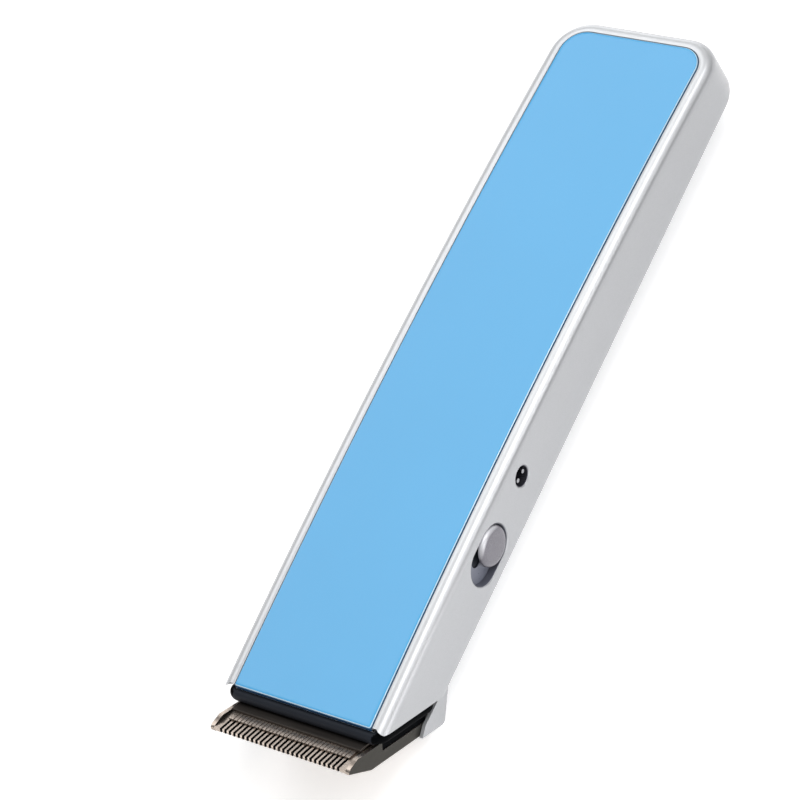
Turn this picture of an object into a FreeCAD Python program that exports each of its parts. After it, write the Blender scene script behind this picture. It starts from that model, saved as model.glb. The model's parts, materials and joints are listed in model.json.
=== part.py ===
import FreeCAD, Part
import math
import os
import re
import Sketcher

# Cordless hair clipper, lying on its back. Everything is drawn in the case's own frame:
# X across the case (+X is the side with the switch and the charging inlet), Y along it from
# the head end to the tail, Z out of the front panel, with Z = 0 on the chord of the panel's bow.
# The head is drawn in a second, tilted frame: its XY plane is the case's slanted end face,
# with Y running back along that face, and negative Z pointing away from the case to the blade.
# At the end every sub-part gets a Placement that puts the origin below the middle of the whole
# clipper, at the height of the surface that it lies on.

SIZES = {
    # case
    "case_width": 36.0, "case_length": 147.4, "bow_height": 2.28, "bow_span": 144.64,
    "rear_depth": 13.36, "rear_rise": 1.94, "side_wall": 1.6, "front_wall": 1.0,
    "front_edge_round": 2.0, "rear_edge_round": 1.8, "end_lip_round": 0.57,
    # front panel, set in a recess and standing a little proud of the rim around it
    "panel_width": 30.44, "panel_thickness": 1.2, "panel_proud": 0.2, "panel_gap": 0.1,
    "panel_corner": 4.8, "panel_bevel": 0.3, "rim_width": 2.78, "bedding_gap": 0.04,
    # posts, ribs and walls inside the case
    "board_post_x": 11.8, "board_post_radius": 1.9, "board_pilot_radius": 0.7,
    "cradle_post_x": 9.6, "cradle_post_y": 31.0, "cradle_post_radius": 1.5, "cradle_post_foot": 2.7,
    "rib_inner": 5.4, "rib_outer": 6.4, "rib_front": 66.0, "rib_back": 98.0, "rib_foot": 6.0,
    "pad_wall_half": 6.4, "pad_wall_front": 109.0, "pad_wall_back": 110.2, "pad_wall_foot": 9.0,
    # rear cover, its screws and the heel behind the blade
    "lid_thickness": 1.2, "lid_gap": 0.1, "lid_start": 14.6, "heel_half_width": 16.2,
    "heel_slope": 38.0, "heel_foot_round": 1.0, "heel_foot_back": 19.2, "heel_front": 13.3,
    "heel_depth": 7.0, "cheek_height": 13.75, "cheek_front": 7.6, "cheek_thickness": 0.7,
    "catch_half": 3.2, "catch_start": 3.4, "catch_length": 1.6,
    "front_screw_x": 12.6, "front_screw_y": 21.0, "rear_screw_x": 11.0, "rear_screw_y": 131.0,
    "boss_radius": 2.2, "pad_radius": 2.9, "pad_height": 1.4, "screw_shank": 1.0,
    "screw_pilot": 0.85, "screw_head_radius": 1.75, "screw_head_height": 1.2,
    # tilted frame of the head, and the black blade holder
    "head_tilt": 39.5, "head_y": -0.413, "head_z": -0.872,
    "lip_half_width": 17.4, "lip_front": 0.55, "lip_thickness": 2.35, "lip_corner": 3.0,
    "holder_back": 16.4, "holder_front": 2.75, "holder_half_width": 15.2,
    "holder_shoulder": 4.6, "tray_half_width": 14.5, "tray_floor": 6.35, "pocket_half": 11.4,
    "pocket_back": 12.4, "tongue_inner": 14.6, "tongue_outer": 16.2, "window_half": 6.4,
    "window_front": 3.0, "window_back": 14.4,
    # fixed comb blade
    "comb_half_width": 15.4, "comb_ledge": 3.15, "tip_reach": 6.9, "tip_inner": 4.33,
    "tip_outer": 5.0, "comb_bottom": 7.15, "bevel_back": 0.5, "comb_block_back": 2.7,
    "comb_plate_back": 15.0, "bend_line": 0.3, "slot_pitch": 1.0, "slot_count": 27,
    "slot_width": 0.54, "slot_root": 3.1, "bend_round": 0.5,
    "blade_screw_x": 12.9, "blade_screw_back": 9.0, "blade_screw_radius": 0.7, "blade_screw_head": 1.5,
    # moving cutter and what drives it
    "cutter_top": 2.8, "cutter_sheet": 0.3, "cutter_half_width": 13.4, "cutter_reach": 4.1,
    "cutter_base_half": 10.0, "cutter_base_back": 8.0, "cutter_slot_pitch": 0.8,
    "cutter_slot_count": 32, "cutter_slot_width": 0.16, "cutter_slot_root": 1.9,
    "cutter_drop": 0.149, "plate_half_width": 14.3, "plate_reach": 2.1, "plate_sheet": 0.42,
    "yoke_half": 4.75, "yoke_slot_half": 2.75, "yoke_front": 5.7, "yoke_back": 8.3,
    "rivet_x": 3.2, "rivet_back": 5.6, "rivet_radius": 0.6, "rivet_head": 1.0, "foot_top": 1.4,
    "yoke_floor": 8.4, "yoke_bottom": 9.6, "yoke_top": 4.4,
    # motor and eccentric
    "motor_z": -6.5, "motor_front": 17.5, "motor_back": 30.5, "motor_radius": 6.0,
    "motor_half_height": 5.0, "can_wall": 0.5, "shaft_radius": 0.5, "bush_bore": 0.55,
    "bush_radius": 1.5, "bell_back": 32.5, "terminal_x": 3.5, "terminal_half": 0.8,
    "terminal_sheet": 0.2, "terminal_reach": 2.6, "magnet_back": 28.6, "commutator_radius": 1.3,
    "commutator_front": 28.2, "commutator_back": 30.2, "brush_inner": 1.45, "brush_outer": 1.75,
    "armature_front": 19.6, "armature_back": 27.8, "armature_slot": 0.35, "armature_root": 1.6,
    "cam_radius": 2.3, "cam_front": 9.4, "cam_back": 13.4,
    "pin_radius": 0.7, "pin_front": 5.4, "eccentricity": 0.9,
    "armature_radius": 3.9, "cradle_half_width": 7.9, "cradle_front": 15.2,
    "cradle_low": 11.3, "cradle_high": 1.7, "cradle_ear_reach": 11.2, "cradle_screw_radius": 0.6,
    # switch
    "switch_y": 40.24, "switch_z": -5.3, "slot_radius": 4.25, "knob_radius": 3.9,
    "switch_travel": 3.6, "knob_face": 18.5, "knob_back": 16.75, "stem_radius": 1.0,
    "switch_inner": 10.2, "switch_outer": 14.4, "switch_front": 33.7, "switch_back": 43.2,
    "switch_top": 3.0, "lever_root": 12.6, "lever_reach": 15.7, "lever_half": 0.6,
    "switch_pin_x": 12.2, "switch_pin_y": 35.9, "switch_pin_pitch": 2.5, "switch_pin_radius": 0.35,
    "recess_back": 15.75, "recess_margin": 6.4, "recess_low": 5.2, "recess_high": 4.6,
    # charging inlet
    "inlet_y": 53.87, "inlet_z": -3.54, "inlet_radius": 2.02, "contact_radius": 0.4,
    "contact_offset": 1.0, "contact_tip": 17.6, "contact_root": 8.6, "contact_tail": 0.25,
    "socket_floor": 10.4, "socket_inner": 9.4, "socket_half": 3.4, "socket_top": 0.9,
    # circuit board, battery and leads
    "board_top": -7.8, "board_thickness": 1.0, "board_front": 33.2, "board_back": 59.0,
    "board_left": 14.2, "board_right": 15.4, "diode_y": 50.0, "diode_radius": 1.25, "resistor_y": 46.0,
    "resistor_radius": 0.95, "component_half": 2.6, "capacitor_x": 9.4, "capacitor_y": 45.0,
    "capacitor_radius": 2.4, "capacitor_height": 5.6,
    "cell_radius": 5.0, "cell_z": -5.57, "cell_front": 60.5, "cell_back": 104.5,
    "button_radius": 1.9, "button_height": 0.8, "tab_half": 2.2, "tab_sheet": 0.2, "pad_half": 4.5,
    "lead_radius": 0.5, "lead_bend": 1.8,
    # filled in once the whole clipper has been measured
    "origin_shift_y": 0.0, "origin_shift_z": 0.0,
}

document = FreeCAD.newDocument("hair_clipper")
sizes = document.addObject("Spreadsheet::Sheet", "sizes")
CELL = {}
for row, (alias, number) in enumerate(SIZES.items(), start=1):
    CELL[alias] = f"B{row}"
    sizes.set(f"A{row}", alias)
    sizes.set(CELL[alias], str(number))
    sizes.setAlias(CELL[alias], alias)
document.recompute()

WORD = re.compile(r"[a-z][a-z_]+")
parts = {}


def formula(text):
    """Turns the sheet's words inside a formula into references to the sheet."""
    return WORD.sub(lambda found: "sizes." + found[0] if found[0] in SIZES else found[0], str(text))


def amount(text):
    """The present value of a formula, in millimetres or degrees."""
    return float(sizes.evalExpression(formula(text)))


def bind(item, name, text):
    item.setExpression(name, formula(text))


# ---------------------------------------------------------------- basic solids

TURN = {
    "x": FreeCAD.Rotation(FreeCAD.Vector(0, 0, 1), FreeCAD.Vector(1, 0, 0)),
    "y": FreeCAD.Rotation(FreeCAD.Vector(0, 0, 1), FreeCAD.Vector(0, 1, 0)),
    "z": FreeCAD.Rotation(),
}


def box(name, x, y, z):
    """A block between two formulas on each axis."""
    solid = document.addObject("Part::Box", name)
    for side, axis, (low, high) in zip(("Length", "Width", "Height"), "xyz", (x, y, z)):
        bind(solid, side, f"({high}) - ({low})")
        bind(solid, f"Placement.Base.{axis}", low)
    return solid


def rod(name, radius, along, start, end, x="0", y="0", z="0"):
    """A round bar along one axis, from start to end."""
    solid = document.addObject("Part::Cylinder", name)
    solid.Placement = FreeCAD.Placement(FreeCAD.Vector(), TURN[along])
    bind(solid, "Radius", radius)
    bind(solid, "Height", f"({end}) - ({start})")
    centre = {"x": x, "y": y, "z": z}
    centre[along] = start
    for axis, text in centre.items():
        bind(solid, f"Placement.Base.{axis}", text)
    return solid


def fuse(name, *solids):
    joined = document.addObject("Part::MultiFuse", name)
    joined.Shapes = list(solids)
    joined.Refine = True
    return joined


def common(name, *solids):
    shared = document.addObject("Part::MultiCommon", name)
    shared.Shapes = list(solids)
    return shared


def cut(name, base, *tools):
    result = document.addObject("Part::Cut", name)
    result.Base = base
    result.Tool = tools[0] if len(tools) == 1 else fuse(name + "_tools", *tools)
    return result


def group(name, *solids):
    """Separate solids that share one sub-part."""
    collected = document.addObject("Part::Compound", name)
    collected.Links = list(solids)
    return collected


# ---------------------------------------------------------------- sketched solids

def plane_of(body, role):
    return next(item for item in body.Origin.OriginFeatures if item.Role == role)


def line_to(u, v):
    return ("line", u, v, None, 0)


def arc_to(u, v, radius, side):
    """An arc to a point; side is +1 when its centre lies to the left of the way there."""
    return ("arc", u, v, radius, side)


def arc_between(start, end, radius, side):
    """The arc of a circle from start to end, always less than half a turn."""
    chord = end - start
    left = FreeCAD.Vector(-chord.y, chord.x, 0).normalize()
    rise = math.sqrt(max(radius ** 2 - (chord.Length / 2) ** 2, 0.0))
    centre = (start + end) * 0.5 + left * (rise * side)
    circle = Part.Circle(centre, FreeCAD.Vector(0, 0, 1), radius)
    first, last = (start, end) if side > 0 else (end, start)
    return Part.ArcOfCircle(circle, circle.parameter(first), circle.parameter(last))


def draw(sketch, outline):
    """Draws a closed outline, with each corner and radius held by a formula."""
    corners = [FreeCAD.Vector(amount(step[1]), amount(step[2]), 0) for step in outline]
    ends = []
    for index, (kind, u, v, radius, side) in enumerate(outline):
        start, end = corners[index - 1], corners[index]
        if kind == "line":
            edge = Part.LineSegment(start, end)
        else:
            edge = arc_between(start, end, amount(radius), side)
        number = sketch.addGeometry(edge, False)
        first, last = (2, 1) if side < 0 else (1, 2)
        ends.append((number, first, last))
        if kind == "arc":
            held = sketch.addConstraint(Sketcher.Constraint("Radius", number, amount(radius)))
            sketch.setExpression(f"Constraints[{held}]", formula(radius))
    for index, (number, first, last) in enumerate(ends):
        following, opening, _ = ends[(index + 1) % len(ends)]
        sketch.addConstraint(Sketcher.Constraint("Coincident", number, last, following, opening))
        for kind, text in (("DistanceX", outline[index][1]), ("DistanceY", outline[index][2])):
            rule = Sketcher.Constraint(kind, -1, 1, number, last, amount(text))
            held = sketch.addConstraint(rule)
            sketch.setExpression(f"Constraints[{held}]", formula(text))


def sketch_on(body, role, name, offset="0"):
    sketch = body.newObject("Sketcher::SketchObject", name)
    sketch.AttachmentSupport = [(plane_of(body, role), "")]
    sketch.MapMode = "FlatFace"
    bind(sketch, "AttachmentOffset.Base.z", offset)
    return sketch


def prism(name, role, outline, low, high):
    """A body padded from an outline on an origin plane, between two distances along its normal."""
    body = document.addObject("PartDesign::Body", name)
    sketch = sketch_on(body, role, name + "_outline", low)
    draw(sketch, outline)
    pad = body.newObject("PartDesign::Pad", name + "_pad")
    pad.Profile = sketch
    bind(pad, "Length", f"({high}) - ({low})")
    sketch.Visibility = False
    document.recompute()
    return body


def side_prism(name, outline, half_width):
    """A body with a side profile, (Y, Z) points, of equal reach to both sides of the middle."""
    return prism(name, "YZ_Plane", outline, f"-({half_width})", half_width)


def round_edges(body, name, radius, chosen, kind="PartDesign::Fillet"):
    """Rounds (or bevels) the edges of the body's last feature that the test picks."""
    tip = body.Tip
    names = [f"Edge{i}" for i, edge in enumerate(tip.Shape.Edges, start=1) if chosen(edge)]
    feature = body.newObject(kind, name)
    feature.Base = (tip, names)
    bind(feature, "Radius" if kind.endswith("Fillet") else "Size", radius)
    document.recompute()
    return feature


def middle(edge):
    return edge.valueAt((edge.FirstParameter + edge.LastParameter) / 2)


def is_upright(edge):
    """True for a straight edge along the sketch plane's normal, Z."""
    box_of_edge = edge.BoundBox
    return box_of_edge.ZLength > 0.5 and box_of_edge.XLength < 0.01 and box_of_edge.YLength < 0.01


def rounded_rectangle(u_low, u_high, v_low, v_high, radius):
    return [
        line_to(f"({u_high}) - ({radius})", v_low),
        arc_to(u_high, f"({v_low}) + ({radius})", radius, 1),
        line_to(u_high, f"({v_high}) - ({radius})"),
        arc_to(f"({u_high}) - ({radius})", v_high, radius, 1),
        line_to(f"({u_low}) + ({radius})", v_high),
        arc_to(u_low, f"({v_high}) - ({radius})", radius, 1),
        line_to(u_low, f"({v_low}) + ({radius})"),
        arc_to(f"({u_low}) + ({radius})", v_low, radius, 1),
    ]


def tail_plan(half_width, front, back, radius):
    """A plan outline, square at the head end and rounded at the tail's two corners."""
    return [
        line_to(f"-({half_width})", front), line_to(half_width, front),
        line_to(half_width, f"({back}) - ({radius})"),
        arc_to(f"({half_width}) - ({radius})", back, radius, 1),
        line_to(f"-({half_width}) + ({radius})", back),
        arc_to(f"-({half_width})", f"({back}) - ({radius})", radius, 1),
    ]


BOW_RADIUS = "(bow_span ^ 2 / (8 * bow_height) + bow_height / 2)"


def front_height(y, depth):
    """Height of the bowed front at y, a given depth below the panel's face."""
    return f"bow_height - {BOW_RADIUS} + sqrt(({BOW_RADIUS} - ({depth})) ^ 2 - ({y} - bow_span / 2) ^ 2)"


def rear_height(y, above="0"):
    """Height of the flat rear face at y, or a given height above it."""
    return f"({above}) - rear_depth + rear_rise * ({y}) / bow_span"


def bowed_layer(front, back, top_depth, bottom_depth):
    """Side profile of a layer that follows the bowed front."""
    return [
        line_to(front, front_height(front, top_depth)),
        arc_to(back, front_height(back, top_depth), f"{BOW_RADIUS} - ({top_depth})", -1),
        line_to(back, front_height(back, bottom_depth)),
        arc_to(front, front_height(front, bottom_depth), f"{BOW_RADIUS} - ({bottom_depth})", 1),
    ]


def head_point(back, down):
    """Case-frame (Y, Z) of a point in the head's frame: back along the end face, down from it."""
    y = f"head_y + ({back}) * cos(head_tilt) - ({down}) * sin(head_tilt)"
    z = f"head_z - ({back}) * sin(head_tilt) - ({down}) * cos(head_tilt)"
    return y, z


def tilted(solid):
    """Places a solid drawn in the head's frame into the case's frame."""
    if solid.TypeId in ("Part::Box", "Part::Cylinder"):
        solid = group(solid.Name + "_held", solid)
    solid.Placement = FreeCAD.Placement(
        FreeCAD.Vector(), FreeCAD.Rotation(FreeCAD.Vector(-1, 0, 0), amount("head_tilt")))
    bind(solid, "Placement.Rotation.Angle", "head_tilt")
    bind(solid, "Placement.Base.y", "head_y")
    bind(solid, "Placement.Base.z", "head_z")
    return solid


def finish(node, solid):
    """Names a sub-part and adds the shift to the part's origin to its place."""
    solid.Label = node
    held = {path.lstrip("."): text for path, text in solid.ExpressionEngine}
    for axis in "yz":
        path = f"Placement.Base.{axis}"
        present = held.get(path, "0")
        solid.setExpression(path, f"({present}) + sizes.origin_shift_{axis}")
    parts[node] = solid


# ---------------------------------------------------------------- case

CAVITY_DEPTH = "panel_thickness + front_wall"
INNER_HALF = "case_width / 2 - side_wall"
INNER_BACK = "case_length - side_wall"
BEYOND = "-6"
BELOW = "-30"


def case_block():
    """The case's outside: bowed front, flat rear, rounded tail corners and edges."""
    outline = [
        line_to(BEYOND, rear_height(BEYOND)), line_to(BEYOND, front_height(BEYOND, "panel_proud")),
        arc_to("case_length", front_height("case_length", "panel_proud"),
               f"{BOW_RADIUS} - panel_proud", -1),
        line_to("case_length", rear_height("case_length")),
    ]
    body = side_prism("case_block", outline, "case_width / 2")
    round_edges(body, "tail_corners", "panel_corner + rim_width",
                lambda edge: is_upright(edge) and middle(edge).y > 100)
    open_end = amount(BEYOND) + 0.5

    def around_front(edge):
        point = middle(edge)
        return abs(point.z - amount(front_height(f"{point.y}", "panel_proud"))) < 0.05 and point.y > open_end

    def around_rear(edge):
        point = middle(edge)
        return abs(point.z - amount(rear_height(f"{point.y}"))) < 0.05 and point.y > open_end

    round_edges(body, "front_edge", "front_edge_round", around_front)
    round_edges(body, "rear_edge", "rear_edge_round", around_rear)
    return body


def end_cutter():
    """Cuts the case's end along the head's slanted plane, with a rounded lip at the front."""
    lip_back = ("(head_z + end_lip_round * cos(head_tilt) + panel_proud + end_lip_round)"
                " / sin(head_tilt)")
    on_plane = head_point(lip_back, "0")
    centre_y = head_point(lip_back, "-end_lip_round")[0]
    outline = [
        line_to(*head_point("40", "0")), line_to(*on_plane),
        arc_to(centre_y, "-panel_proud", "end_lip_round", -1),
        line_to(centre_y, "8"), line_to("-20", "8"), line_to("-20", head_point("40", "0")[1]),
    ]
    return side_prism("end_cutter", outline, "case_width")


def inner_space():
    """The hollow of the case, open at the rear and at the head end."""
    side = [
        line_to(BEYOND, BELOW), line_to(BEYOND, front_height(BEYOND, CAVITY_DEPTH)),
        arc_to(INNER_BACK, front_height(INNER_BACK, CAVITY_DEPTH), f"{BOW_RADIUS} - {CAVITY_DEPTH}", -1),
        line_to(INNER_BACK, BELOW),
    ]
    plan = tail_plan(INNER_HALF, BEYOND, INNER_BACK, "panel_corner + rim_width - side_wall")
    return common("inner_space", side_prism("inner_side", side, "case_width"),
                  prism("inner_plan", "XY_Plane", plan, BELOW, "8"))


def panel_recess():
    half = "panel_width / 2 + panel_gap"
    back = "bow_span + panel_gap"
    plan = tail_plan(half, BEYOND, back, "panel_corner + panel_gap")
    layer = bowed_layer(BEYOND, back, "-4", "panel_thickness")
    return common("panel_recess", side_prism("recess_side", layer, "case_width"),
                  prism("recess_plan", "XY_Plane", plan, "-8", "8"))


def slot_through(name, radius, low, high):
    """The switch's long slot, through the side wall between two places on X."""
    ahead = "switch_y - switch_travel"
    return fuse(name, rod(name + "_head", radius, "x", low, high, y=ahead, z="switch_z"),
                rod(name + "_tail", radius, "x", low, high, y="switch_y", z="switch_z"),
                box(name + "_run", (low, high), (ahead, "switch_y"),
                    (f"switch_z - ({radius})", f"switch_z + ({radius})")))


def ceiling(y):
    """A height just inside the front wall, where posts and ribs under it begin."""
    return front_height(y, CAVITY_DEPTH + " - 0.3")


BOARD_SCREW_Y = ("board_front + 2.6", "board_back - 2.4")


def screw_places():
    """The four rear cover screws: sign of X, X, Y."""
    return [(sign, x, y) for x, y in (("front_screw_x", "front_screw_y"), ("rear_screw_x", "rear_screw_y"))
            for sign in (-1, 1)]


def main_housing():
    shell = cut("case_shell", case_block(), end_cutter(), inner_space(), panel_recess())
    added = [shell]
    holes = [slot_through("switch_slot", "slot_radius", "case_width / 2 - 3", "case_width / 2 + 1"),
             rod("inlet_hole", "inlet_radius", "x", "case_width / 2 - 3", "case_width / 2 + 1",
                 y="inlet_y", z="inlet_z")]
    for index, (sign, x, y) in enumerate(screw_places()):
        foot = rear_height(y, "lid_thickness + pad_height + 0.1")
        place = {"x": f"{sign} * {x}", "y": y}
        added.append(rod(f"boss{index}", "boss_radius", "z", foot, ceiling(y), **place))
        holes.append(rod(f"pilot{index}", "screw_pilot", "z", f"{foot} - 1", "-2.6", **place))
    for index, y in enumerate(BOARD_SCREW_Y):
        place = {"x": "-board_post_x", "y": y}
        added.append(rod(f"board_post{index}", "board_post_radius", "z", "board_top", ceiling(y), **place))
        holes.append(rod(f"board_pilot{index}", "board_pilot_radius", "z", "board_top - 1", "board_top + 4",
                         **place))
    for index, sign in enumerate((-1, 1)):
        place = {"x": f"{sign} * cradle_post_x", "y": "cradle_post_y"}
        added.append(rod(f"cradle_post{index}", "cradle_post_radius", "z", "-cradle_post_foot",
                         ceiling("cradle_post_y"), **place))
        holes.append(rod(f"cradle_pilot{index}", "cradle_screw_radius", "z", "-cradle_post_foot - 1.3",
                         "-cradle_post_foot + 1.3", **place))
        near, far = sorted((f"{sign} * rib_inner", f"{sign} * rib_outer"), key=amount)
        added.append(box(f"cell_rib{index}", (near, far), ("rib_front", "rib_back"),
                         ("-rib_foot", ceiling("rib_front"))))
    added.append(box("pad_wall", ("-pad_wall_half", "pad_wall_half"), ("pad_wall_front", "pad_wall_back"),
                     ("-pad_wall_foot", ceiling("pad_wall_back"))))
    finish("main_housing", cut("housing_cut", fuse("housing_solid", *added), *holes))


def front_panel():
    body = side_prism("panel_body", bowed_layer("0", "bow_span", "0", "panel_thickness - bedding_gap"),
                      "panel_width / 2")
    round_edges(body, "panel_tail_corners", "panel_corner",
                lambda edge: is_upright(edge) and middle(edge).y > 100)

    def around_face(edge):
        point = middle(edge)
        return abs(point.z - amount(front_height(f"{point.y}", "0"))) < 0.05

    round_edges(body, "panel_edge_bevel", "panel_bevel", around_face, "PartDesign::Chamfer")
    finish("front_panel", body)


def heel_side():
    """Side profile of the heel: cheek, sloping sole, rounded foot and the long rear slope."""
    foot = head_point("heel_foot_back", "heel_depth - heel_foot_round")
    sole_end = head_point("heel_foot_back", "heel_depth")
    slope_y = f"{foot[0]} + heel_foot_round * sin(heel_slope)"
    slope_z = f"{foot[1]} - heel_foot_round * cos(heel_slope)"
    run = (f"((({rear_height(slope_y)}) - ({slope_z})) * cos(heel_slope)"
           f" / (sin(heel_slope) - rear_rise / bow_span * cos(heel_slope)))")
    slope_end = f"{slope_y} + {run}"
    return [
        line_to("cheek_front", "-cheek_height"), line_to("cheek_front + 5.8", "-cheek_height"),
        line_to("lid_start", rear_height("lid_start", "lid_thickness - 0.3")),
        line_to(slope_end, rear_height(slope_end, "lid_thickness - 0.3")),
        line_to(slope_end, rear_height(slope_end)), line_to(slope_y, slope_z),
        arc_to(*sole_end, "heel_foot_round", -1), line_to(*head_point("heel_front", "heel_depth")),
    ]


def rear_cover():
    back = f"{INNER_BACK} - lid_gap"
    outline = [
        line_to("lid_start", rear_height("lid_start")),
        line_to("lid_start", rear_height("lid_start", "lid_thickness")),
        line_to(back, rear_height(back, "lid_thickness")), line_to(back, rear_height(back)),
    ]
    plate = side_prism("lid_plate", outline, f"{INNER_HALF} - lid_gap")
    round_edges(plate, "lid_corners", "panel_corner + rim_width - side_wall - lid_gap",
                lambda edge: abs(edge.BoundBox.XLength) < 0.01 and abs(middle(edge).x) > 10
                and edge.BoundBox.ZLength > 1 and middle(edge).y > 100)
    heel = side_prism("heel_block", heel_side(), "heel_half_width")
    added = [plate, heel]
    inner = "heel_half_width - cheek_thickness"
    bed = tilted(box("blade_bed", (f"-({inner})", inner), ("5", "16.6"), ("-12", "4")))
    slope_middle = head_point("heel_foot_back", "heel_depth - heel_foot_round")
    catch_y = f"{slope_middle[0]} + catch_start"
    catch = box("comb_catch", ("-catch_half", "catch_half"), (catch_y, f"{catch_y} + catch_length"),
                (f"{slope_middle[1]} - 2", f"{slope_middle[1]} + 2.6"))
    holes = [bed, catch]
    for index, (sign, x, y) in enumerate(screw_places()):
        place = {"x": f"{sign} * {x}", "y": y}
        top = rear_height(y, "lid_thickness + pad_height")
        added.append(rod(f"pad{index}", "pad_radius", "z", rear_height(y, "0.3"), top, **place))
        holes.append(rod(f"clearance{index}", "screw_shank + 0.1", "z", rear_height(y, "-1"),
                         f"{top} + 1", **place))
        holes.append(rod(f"counterbore{index}", "screw_head_radius + 0.15", "z", rear_height(y, "-1"),
                         rear_height(y, "screw_head_height + 0.2"), **place))
    finish("rear_cover", cut("cover_cut", fuse("cover_solid", *added), *holes))


def pan_screw(name, head_radius, head_height, shank_radius, head_z, tip_z, x, y):
    """A screw along Z, its head at head_z and its shank towards tip_z, with a cross recess."""
    up = amount(tip_z) > amount(head_z)
    sign = "1" if up else "-1"
    head_end = f"({head_z}) + {sign} * ({head_height})"
    low, high = (head_z, head_end) if up else (head_end, head_z)
    shank = (head_end, tip_z) if up else (tip_z, head_end)
    bar = fuse(name + "_blank", rod(name + "_head", head_radius, "z", low, high, x=x, y=y),
               rod(name + "_shank", shank_radius, "z", *shank, x=x, y=y))
    deep = f"({head_z}) + {sign} * ({head_height}) * 0.5"
    recess = (f"({head_z}) - 0.1", deep) if up else (deep, f"({head_z}) + 0.1")
    arm, thin = f"({head_radius}) * 0.6", f"({head_radius}) * 0.14"
    bars = [box(name + "_slot" + tag, (f"{x} - {u}", f"{x} + {u}"), (f"{y} - {v}", f"{y} + {v}"), recess)
            for tag, u, v in (("a", arm, thin), ("b", thin, arm))]
    return cut(name, bar, *bars)


def housing_screws():
    screws = []
    for index, (sign, x, y) in enumerate(screw_places()):
        head = rear_height(y, "0.2")
        screws.append(pan_screw(f"housing_screw{index}", "screw_head_radius", "screw_head_height",
                                "screw_pilot", head, f"{head} + 6.4", f"{sign} * {x}", y))
    finish("housing_screws", group("housing_screws", *screws))


# ---------------------------------------------------------------- head

def blade_holder():
    """Black moulding that closes the slanted end: a round-nosed lip, and a body for the blade."""
    plan = rounded_rectangle("-lip_half_width", "lip_half_width", "-lip_front", "holder_back + 0.8",
                             "lip_corner")
    lip = prism("lip_slab", "XY_Plane", plan, "-lip_thickness", "0")
    nose_end = amount("holder_front + 9")
    round_edges(lip, "lip_nose", "lip_thickness / 2 - 0.03",
                lambda edge: edge.BoundBox.ZLength < 0.01 and middle(edge).y < nose_end)
    shoulder = box("holder_shoulder_block", ("-holder_half_width", "holder_half_width"),
                   ("holder_front", "holder_back"), ("-holder_shoulder", "-lip_thickness + 0.3"))
    core = box("holder_core", ("-tray_half_width + 0.05", "tray_half_width - 0.05"),
               ("holder_front", "holder_back - 0.3"), ("-tray_floor", "-holder_shoulder + 0.3"))
    tongues = [box(f"tongue{i}", (low, high), ("6", "11"), ("-0.3", "3"))
               for i, (low, high) in enumerate((("-tongue_outer", "-tongue_inner"),
                                                ("tongue_inner", "tongue_outer")))]
    pocket = box("cutter_pocket", ("-pocket_half", "pocket_half"), ("holder_front - 1", "pocket_back"),
                 ("-tray_floor - 1", "-lip_thickness"))
    window = box("drive_window", ("-window_half", "window_half"), ("window_front", "window_back"),
                 ("-tray_floor - 1", "1"))
    pilots = [rod(f"blade_pilot{i}", "blade_screw_radius", "z", "-tray_floor - 1", "-tray_floor + 3",
                  x=f"{sign} * blade_screw_x", y="blade_screw_back") for i, sign in enumerate((-1, 1))]
    solid = fuse("holder_solid", lip, shoulder, core, *tongues)
    finish("blade_holder", tilted(cut("holder_cut", solid, pocket, window, *pilots)))


def toothed(body, name, pitch, count, width, root, reach):
    """Cuts a row of slots through the front of a blade, evenly spaced about its middle."""
    sketch = sketch_on(body, "XY_Plane", name + "_slot", "-20")
    first = f"-({count} - 1) / 2 * {pitch}"
    left, right = f"{first} - ({width}) / 2", f"{first} + ({width}) / 2"
    draw(sketch, [line_to(left, f"-({reach}) - 1"), line_to(right, f"-({reach}) - 1"),
                  line_to(right, f"-({root})"),
                  arc_to(left, f"-({root})", f"({width}) * 0.501", 1)])
    pocket = body.newObject("PartDesign::Pocket", name + "_cut")
    pocket.Profile = sketch
    pocket.Reversed = True
    bind(pocket, "Length", "30")
    before = body.Shape.Volume
    document.recompute()
    pattern = body.newObject("PartDesign::LinearPattern", name + "_row")
    pattern.Originals = [pocket]
    pattern.Direction = (sketch, ["H_Axis"])
    bind(pattern, "Length", f"({count} - 1) * {pitch}")
    pattern.Occurrences = int(amount(count))
    body.Tip = pattern
    document.recompute()
    print(name, "slots removed", round(before - body.Shape.Volume, 2), "mm3")
    sketch.Visibility = False


def comb_inner(back):
    """Height of the comb's inner face, which falls away towards the tips."""
    return f"-comb_ledge + cutter_drop * (({back}) + bend_line)"


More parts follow.
